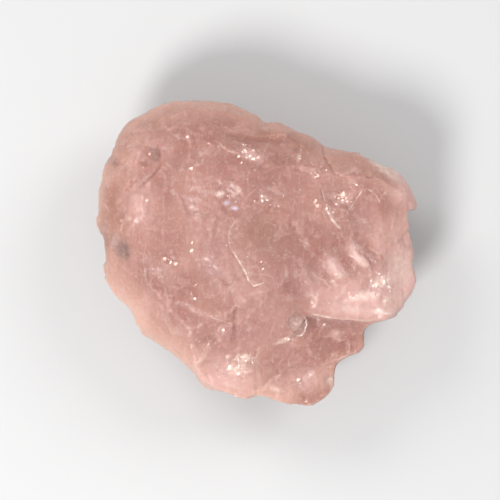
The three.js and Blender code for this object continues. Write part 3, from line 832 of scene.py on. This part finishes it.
PAINTED_GLINT_CHIPS = (  # chips with painted glints: place and size
    (-10.5, 9.6, 0.36), (-6.75, 11.2, 0.38), (-4.65, 10.5, 0.4), (-6.35, 8.1, 0.32),
    (-10.65, 5.0, 0.34), (-1.3, 10.5, 0.28), (-1.15, 9.85, 0.42), (-0.3, 9.05, 0.55),
    (0.15, 9.25, 0.32), (-1.7, 9.3, 0.2), (-6.3, 0.9, 0.28), (-6.3, 0.15, 0.38), (-8.9, -0.6, 0.34),
    (-8.35, -0.95, 0.36), (-7.85, -1.15, 0.4), (0.5, -0.9, 0.28), (0.6, -1.6, 0.16),
    (-6.45, -3.1, 0.18), (-5.9, -3.2, 0.22), (-5.35, -4.5, 0.2), (-3.25, -7.6, 0.32),
    (-4.8, -9.0, 0.28), (-2.8, -10.25, 0.32), (-2.7, -11.4, 0.62), (-1.8, -11.4, 0.42),
    (-1.8, -11.95, 0.42), (-1.3, -12.2, 0.25), (4.25, 9.1, 0.25), (6.8, 8.0, 0.22), (5.7, 7.3, 0.28),
    (6.0, 7.9, 0.18), (4.25, 6.1, 0.18), (5.75, 4.95, 0.32), (8.4, 5.55, 0.5), (8.3, 5.1, 0.34),
    (8.85, 4.9, 0.34), (9.3, 4.9, 0.2), (7.75, 4.65, 0.25), (6.8, 4.2, 0.25), (1.3, 4.5, 0.2),
    (2.0, 4.3, 0.18), (10.1, -0.85, 0.25), (9.55, 0.4, 0.2), (7.7, -2.15, 0.28), (7.6, -1.4, 0.16),
    (5.35, -3.65, 0.22), (9.2, -4.45, 0.42), (11.7, -3.2, 0.6), (12.45, -2.85, 0.55),
    (12.95, -3.35, 0.4), (12.6, -4.75, 0.38), (10.4, -4.3, 0.2), (11.1, -4.1, 0.2), (6.6, -7.1, 0.25),
    (8.2, -7.0, 0.18), (3.15, -8.55, 0.28), (2.4, -8.8, 0.22), (1.85, -9.2, 0.22), (4.15, -12.7, 0.32),
    (3.6, -13.2, 0.2), (1.5, -13.25, 0.22), (7.4, -12.65, 0.3), (6.5, -14.2, 0.14), (4.9, -14.9, 0.14),
    (0.45, -6.1, 0.18), (-7.7, -5.85, 0.16),
)


@dataclass
class Stone:
    """The whole stone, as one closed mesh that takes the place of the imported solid."""

    weld: float = 0.002
    voxel: float = 0.172
    wear_passes: int = 4
    wear: float = 0.5
    seed: int = 7
    wobble: float = 0.05
    relief: BrokenSurface = field(default_factory=BrokenSurface)
    finish: Morganite = field(default_factory=Morganite)
    # the rim's painted glow: its band, how fast it fades inwards, the side where it is strongest, how far it
    # fades round the far side, and how much of it the sides keep
    rim_band: float = 4.2
    rim_fade: float = 1.6
    painted_light_from: float = 212.0
    painted_light_sway: float = 0.24
    side_painted_glow: float = 0.35
    spark_size: float = 0.45
    spark_height: float = 0.25
    splinters: int = 3
    splinters_from: float = 0.41
    splinter_away: Point = (1.0, 2.2)
    splinter_share: Point = (0.35, 0.6)
    chip_reach: Point = (0.45, 1.35)
    line_strength: Point = (0.55, 1.0)
    sharp_edge: float = 0.03
    top_from: float = -0.1
    top_to: float = 0.2

    ATTRIBUTES = (*(mark.value for mark in Mark), "painted_glint", "thin", "side", "edge", "line_side", "line_light")

    def build(self) -> bpy.types.Object:
        """Builds and dresses the stone.

        Returns:
            The finished piece.
        """
        lowest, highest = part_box(NODE)
        material = self.finish.material()
        piece = self._skin(material)
        self._apply_relief(piece, material)
        self._mark(piece.data, np.array(lowest), np.array(highest))
        return piece

    def _skin(self, material: bpy.types.Material) -> bpy.types.Object:
        """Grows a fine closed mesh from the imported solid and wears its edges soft.

        Args:
            material: what the stone is made of.

        Returns:
            The new piece.
        """
        mesh = bpy.data.meshes.new("morganite")
        work = bmesh.new()
        work.from_mesh(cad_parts[NODE].data)
        bmesh.ops.remove_doubles(work, verts=work.verts, dist=self.weld * MM)
        work.to_mesh(mesh)
        work.free()
        mesh.materials.clear()
        mesh.materials.append(material)
        piece = bpy.data.objects.new("morganite", mesh)
        bpy.context.scene.collection.objects.link(piece)
        skin = piece.modifiers.new("Skin", "REMESH")
        skin.mode = "VOXEL"
        skin.voxel_size = self.voxel * MM
        wear = piece.modifiers.new("Wear", "SMOOTH")
        wear.iterations = self.wear_passes
        wear.factor = self.wear
        self._bake_modifiers(piece)
        return piece

    @staticmethod
    def _bake_modifiers(piece: bpy.types.Object) -> None:
        """Turns the piece's modifiers into its plain mesh."""
        seen = piece.evaluated_get(bpy.context.evaluated_depsgraph_get())
        mesh = bpy.data.meshes.new_from_object(seen)
        piece.modifiers.clear()
        piece.data = mesh

    def _apply_relief(self, piece: bpy.types.Object, material: bpy.types.Material) -> None:
        """Breaks up the surface with the relief's tree."""
        tree, values = self.relief.tree(material)
        relief = piece.modifiers.new("Relief", "NODES")
        relief.node_group = tree
        for identifier, value in values.items():
            relief[identifier] = value
        self._bake_modifiers(piece)

    def _mark(self, mesh: bpy.types.Mesh, lowest: np.ndarray, highest: np.ndarray) -> None:
        """Adds the marks that can be told apart, to the shape and as attributes.

        Args:
            mesh: the stone's mesh.
            lowest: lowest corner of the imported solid.
            highest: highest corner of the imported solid.
        """
        count = len(mesh.vertices)
        place = np.empty(count * 3)
        mesh.vertices.foreach_get("co", place)
        place = place.reshape(-1, 3) / MM
        normal = np.empty(count * 3)
        mesh.vertices.foreach_get("normal", normal)
        normal = normal.reshape(-1, 3)
        top = smoothstep(self.top_from, self.top_to, normal[:, 2])
        x, y = place[:, 0], place[:, 1]
        side, light, groove = self._lines(x, y)
        height = -groove
        for hollow in HOLLOWS:
            height = height - hollow.dish(x, y)
        values = {mark.value: np.zeros(count) for mark in Mark}
        broken = np.empty(count)
        mesh.attributes["broken"].data.foreach_get("value", broken)
        values["fresh"] = broken * (1.0 - top)
        for mark, rows in PATCHES.items():
            for row in rows:
                values[mark.value] = np.maximum(values[mark.value], Patch(*row).weight(x, y) * top)
        # painted glints: each listed chip stands a little proud and carries a white glint
        values["painted_glint"] = np.zeros(count)
        random = np.random.default_rng(self.seed)
        for at_x, at_y, size in self._with_splinters(random):
            away = self._chip_distance(x - at_x, y - at_y, size * self.spark_size, random)
            values["painted_glint"] = np.maximum(values["painted_glint"], np.clip(1.5 - away, 0.0, 1.5) * top)
            height = height + self.spark_height * size * np.clip(1.0 - away, 0.0, 1.0)
        place = place + normal * (height * top)[:, None]
        place = np.clip(place, lowest / MM, highest / MM)
        mesh.vertices.foreach_set("co", (place * MM).ravel())
        mesh.update()
        values["line_side"] = side
        values["line_light"] = light * top
        values["side"] = 1.0 - top
        # painted glow of the rim, weaker on the sides below the top
        values["thin"] = self._painted_rim_glow(place) * (self.side_painted_glow + (1.0 - self.side_painted_glow) * top)
        # ridges and clefts; the colour paints the clefts with shade
        values["edge"] = self._edges(mesh, place, normal)
        for name, value in values.items():
            attribute = mesh.attributes.new(name, "FLOAT", "POINT")
            attribute.data.foreach_set("value", value.astype(np.float32))
        mesh.shade_smooth()

    def _with_splinters(self, random: np.random.Generator) -> list[tuple[float, float, float]]:
        """The chips with painted glints, with a few splinters round each large one.

        Args:
            random: what their places come from.

        Returns:
            Each one's place and size.
        """
        chips = list(PAINTED_GLINT_CHIPS)
        for at_x, at_y, size in PAINTED_GLINT_CHIPS:
            for _ in range(self.splinters if size > self.splinters_from else 0):
                angle = random.uniform(0.0, 2.0 * math.pi)
                away = random.uniform(*self.splinter_away) * size
                share = random.uniform(*self.splinter_share)
                chips.append((at_x + away * math.cos(angle), at_y + away * math.sin(angle), size * share))
        return chips

    def _chip_distance(
        self, x: np.ndarray, y: np.ndarray, size: float, random: np.random.Generator
    ) -> np.ndarray:
        """Distance from the middle of a small chip with a few straight sides, counted in its size.

        Args:
            x: places along X, from its middle.
            y: places along Y, from its middle.
            size: its half size.
            random: what its number of sides, proportions and turn come from.

        Returns:
            0 in the middle, 1 on its sides.
        """
        sides = int(random.integers(3, 6))
        turn = random.uniform(0.0, 2.0 * math.pi)
        reach = random.uniform(*self.chip_reach, sides) * size
        angles = turn + 2.0 * math.pi * np.arange(sides) / sides
        return np.maximum.reduce(
            [(x * math.cos(angle) + y * math.sin(angle)) / far for angle, far in zip(angles, reach)]
        )

    def _lines(self, x: np.ndarray, y: np.ndarray) -> tuple[np.ndarray, np.ndarray, np.ndarray]:
        """Works out the thin lines.

        Args:
            x: places along X.
            y: places along Y.

        Returns:
            The distance to the nearest line in its own half widths, signed by its side, how light the
            line is there, and the depth of the groove.
        """
        far = 9.0
        nearest = np.full(len(x), far)
        side = np.full(len(x), far)
        light = np.zeros(len(x))
        groove = np.zeros(len(x))
        random = np.random.default_rng(self.seed)
        for streak in (Streak(*row) for row in STREAKS):
            route = smooth_route(streak.points)
            shifts = random.uniform(-self.wobble, self.wobble, (len(route), 2))
            route = [(px + sx, py + sy) for (px, py), (sx, sy) in zip(route, shifts)]
            strengths = random.uniform(*self.line_strength, len(route))
            for (ax, ay), (bx, by), strength in zip(route, route[1:], strengths):
                length = math.hypot(bx - ax, by - ay)
                along = ((x - ax) * (bx - ax) + (y - ay) * (by - ay)) / length
                across = ((x - ax) * (by - ay) - (y - ay) * (bx - ax)) / length
                beyond = np.maximum(np.maximum(-along, along - length), 0.0)
                away = np.hypot(across, beyond)
                near = away / streak.width
                closer = near < nearest
                fade = 1.0 - smoothstep(0.0, 0.15, beyond)
                nearest = np.where(closer, near, nearest)
                side = np.where(closer, across / streak.width, side)
                light = np.where(closer, streak.light * strength * fade, light)
                shape = streak.depth * np.clip(1.0 - away / streak.spread, 0.0, 1.0)
                groove = np.where(np.abs(shape) > np.abs(groove), shape, groove)
        return np.clip(side, -far, far), light, groove

    def _painted_rim_glow(self, place: np.ndarray) -> np.ndarray:
        """Painted glow of the rim: how much lighter each place is painted near the widest line round the
        stone, where light shines through the narrow stone, most on the side towards the key light.

        Args:
            place: the vertices.

        Returns:
            Up to 1 at the rim, 0 further in than the rim's band.
        """
        sectors = 360
        angle = np.arctan2(place[:, 1], place[:, 0])
        radius = np.hypot(place[:, 0], place[:, 1])
        index = ((angle + math.pi) / (2.0 * math.pi) * sectors).astype(int) % sectors
        reach = np.zeros(sectors)
        np.maximum.at(reach, index, radius)
        near = [np.roll(reach, shift) for shift in range(-2, 3)]
        inside = np.mean(near, axis=0)[index] - radius
        # painted light: the glow is strongest towards the south-west, where the key light stands, and fades
        # round the far side
        lit = 1.0 - self.painted_light_sway * (1.0 - np.cos(angle - math.radians(self.painted_light_from)))
        return lit * np.clip(1.0 - inside / self.rim_band, 0.0, 1.0) ** self.rim_fade

    def _edges(self, mesh: bpy.types.Mesh, place: np.ndarray, normal: np.ndarray) -> np.ndarray:
        """How much each vertex stands out from its neighbours.

        Args:
            mesh: the stone's mesh.
            place: its vertices.
            normal: their normals.

        Returns:
            About 1 on a sharp ridge and -1 in a sharp cleft.
        """
        ends = np.empty(len(mesh.edges) * 2, dtype=np.int64)
        mesh.edges.foreach_get("vertices", ends)
        first, second = ends.reshape(-1, 2).T
        total = np.zeros_like(place)
        count = np.zeros(len(place))
        for here, there in ((first, second), (second, first)):
            np.add.at(total, here, place[there])
            np.add.at(count, here, 1.0)
        mean = total / count[:, None]
        out = np.einsum("ij,ij->i", place - mean, normal)
        for _ in range(2):
            spread = np.zeros(len(place))
            np.add.at(spread, first, out[second])
            np.add.at(spread, second, out[first])
            out = 0.5 * out + 0.5 * spread / count
        return np.clip(out / self.sharp_edge, -1.0, 1.0)


def smooth_route(points: Sequence[Point], steps: int = 4) -> list[Point]:
    """Rounds a line through its points.

    Args:
        points: the points that it passes.
        steps: pieces between two of them.

    Returns:
        The points of the rounded line.
    """
    ends = [points[0], *points, points[-1]]
    route: list[Point] = [points[0]]
    for before, start, end, after in zip(ends, ends[1:], ends[2:], ends[3:]):
        for step in range(1, steps + 1):
            t = step / steps
            route.append(tuple(
                0.5 * (b + (c - b) * t)
                + 0.25 * (2 * b + (c - a) * t)
                + 0.25 * ((2 * a - 5 * b + 4 * c - d) * t**2 + (3 * b - a - 3 * c + d) * t**3)
                for a, b, c, d in zip(before, start, end, after)
            ))
    return route


@dataclass
class Studio:
    """A pale floor, soft light all round and a camera straight above the stone."""

    focal_length: float = 150.0
    sensor: float = 36.0
    view_width: float = 50.0
    view_middle: Point = (-0.65, 0.2)
    rim_height: float = 6.8
    clip: Point = (1.0, 10000.0)
    floor_size: float = 3000.0
    floor_colour: Colour = (0.57, 0.565, 0.56)
    floor_roughness: float = 0.75
    sky_colour: Colour = (0.95, 0.97, 1.0)
    sky_strength: float = 0.5

    def build(self) -> None:
        """Sets up the floor, lights, world and camera."""
        self._floor()
        self._light("Key", (-110.0, -170.0, 230.0), 100.0, 0.8)
        self._light("Fill", (200.0, 130.0, 210.0), 160.0, 0.34)
        self._light("Back", (-190.0, 190.0, 220.0), 160.0, 0.5)
        self._world()
        self._camera()

    def _floor(self) -> None:
        """Makes the floor and its material."""
        bpy.ops.mesh.primitive_plane_add(size=self.floor_size * MM)
        floor = bpy.context.object
        floor.name = "floor"
        material = bpy.data.materials.new("floor")
        material.use_nodes = True
        material.node_tree.nodes.clear()
        graph = Graph(material.node_tree)
        place = graph.out(graph.node("ShaderNodeTexCoord"), "Object")
        cloud = graph.noise(place, 40.0, 3.0)
        darker = tuple(0.95 * each for each in self.floor_colour)
        colour = graph.mix(cloud, darker, self.floor_colour)
        paint = {"Base Color": colour, "Roughness": self.floor_roughness}
        shader = graph.node("ShaderNodeBsdfPrincipled", None, paint)
        graph.node("ShaderNodeOutputMaterial", None, {"Surface": graph.out(shader, "BSDF")})
        floor.data.materials.append(material)

    @staticmethod
    def _light(name: str, place: tuple[float, float, float], size: float, power: float) -> None:
        """Hangs one soft light that faces the stone."""
        lamp = bpy.data.lights.new(name, "AREA")
        lamp.shape = "DISK"
        lamp.size = size * MM
        lamp.energy = power
        light = bpy.data.objects.new(name, lamp)
        light.location = Vector(place) * MM
        light.rotation_euler = (-light.location).to_track_quat("-Z", "Y").to_euler()
        bpy.context.scene.collection.objects.link(light)

    def _world(self) -> None:
        """Lights the stone softly from all round."""
        world = bpy.data.worlds.new("studio")
        world.use_nodes = True
        background = world.node_tree.nodes["Background"]
        background.inputs["Color"].default_value = (*self.sky_colour, 1.0)
        background.inputs["Strength"].default_value = self.sky_strength
        bpy.context.scene.world = world
        bpy.context.scene.view_settings.view_transform = "Standard"

    def _camera(self) -> None:
        """Puts the camera above the stone, so far up that the view is as wide as it should be."""
        data = bpy.data.cameras.new("camera")
        data.lens = self.focal_length
        data.sensor_width = self.sensor
        distance = self.view_width * self.focal_length / self.sensor
        camera = bpy.data.objects.new("camera", data)
        camera.location = Vector((*self.view_middle, self.rim_height + distance)) * MM
        data.clip_start, data.clip_end = (each * MM for each in self.clip)
        bpy.context.scene.collection.objects.link(camera)
        bpy.context.scene.camera = camera


def main() -> None:
    """Builds the studio and the stone, in that order, and reports the piece."""
    logging.basicConfig(level=logging.INFO, format="%(name)s: %(message)s")
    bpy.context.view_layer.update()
    Studio().build()
    piece = Stone().build()
    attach(piece, "root")
    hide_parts(NODE)
    log.info("%s: %d faces", piece.name, len(piece.data.polygons))


if __name__ == "__main__":
    main()
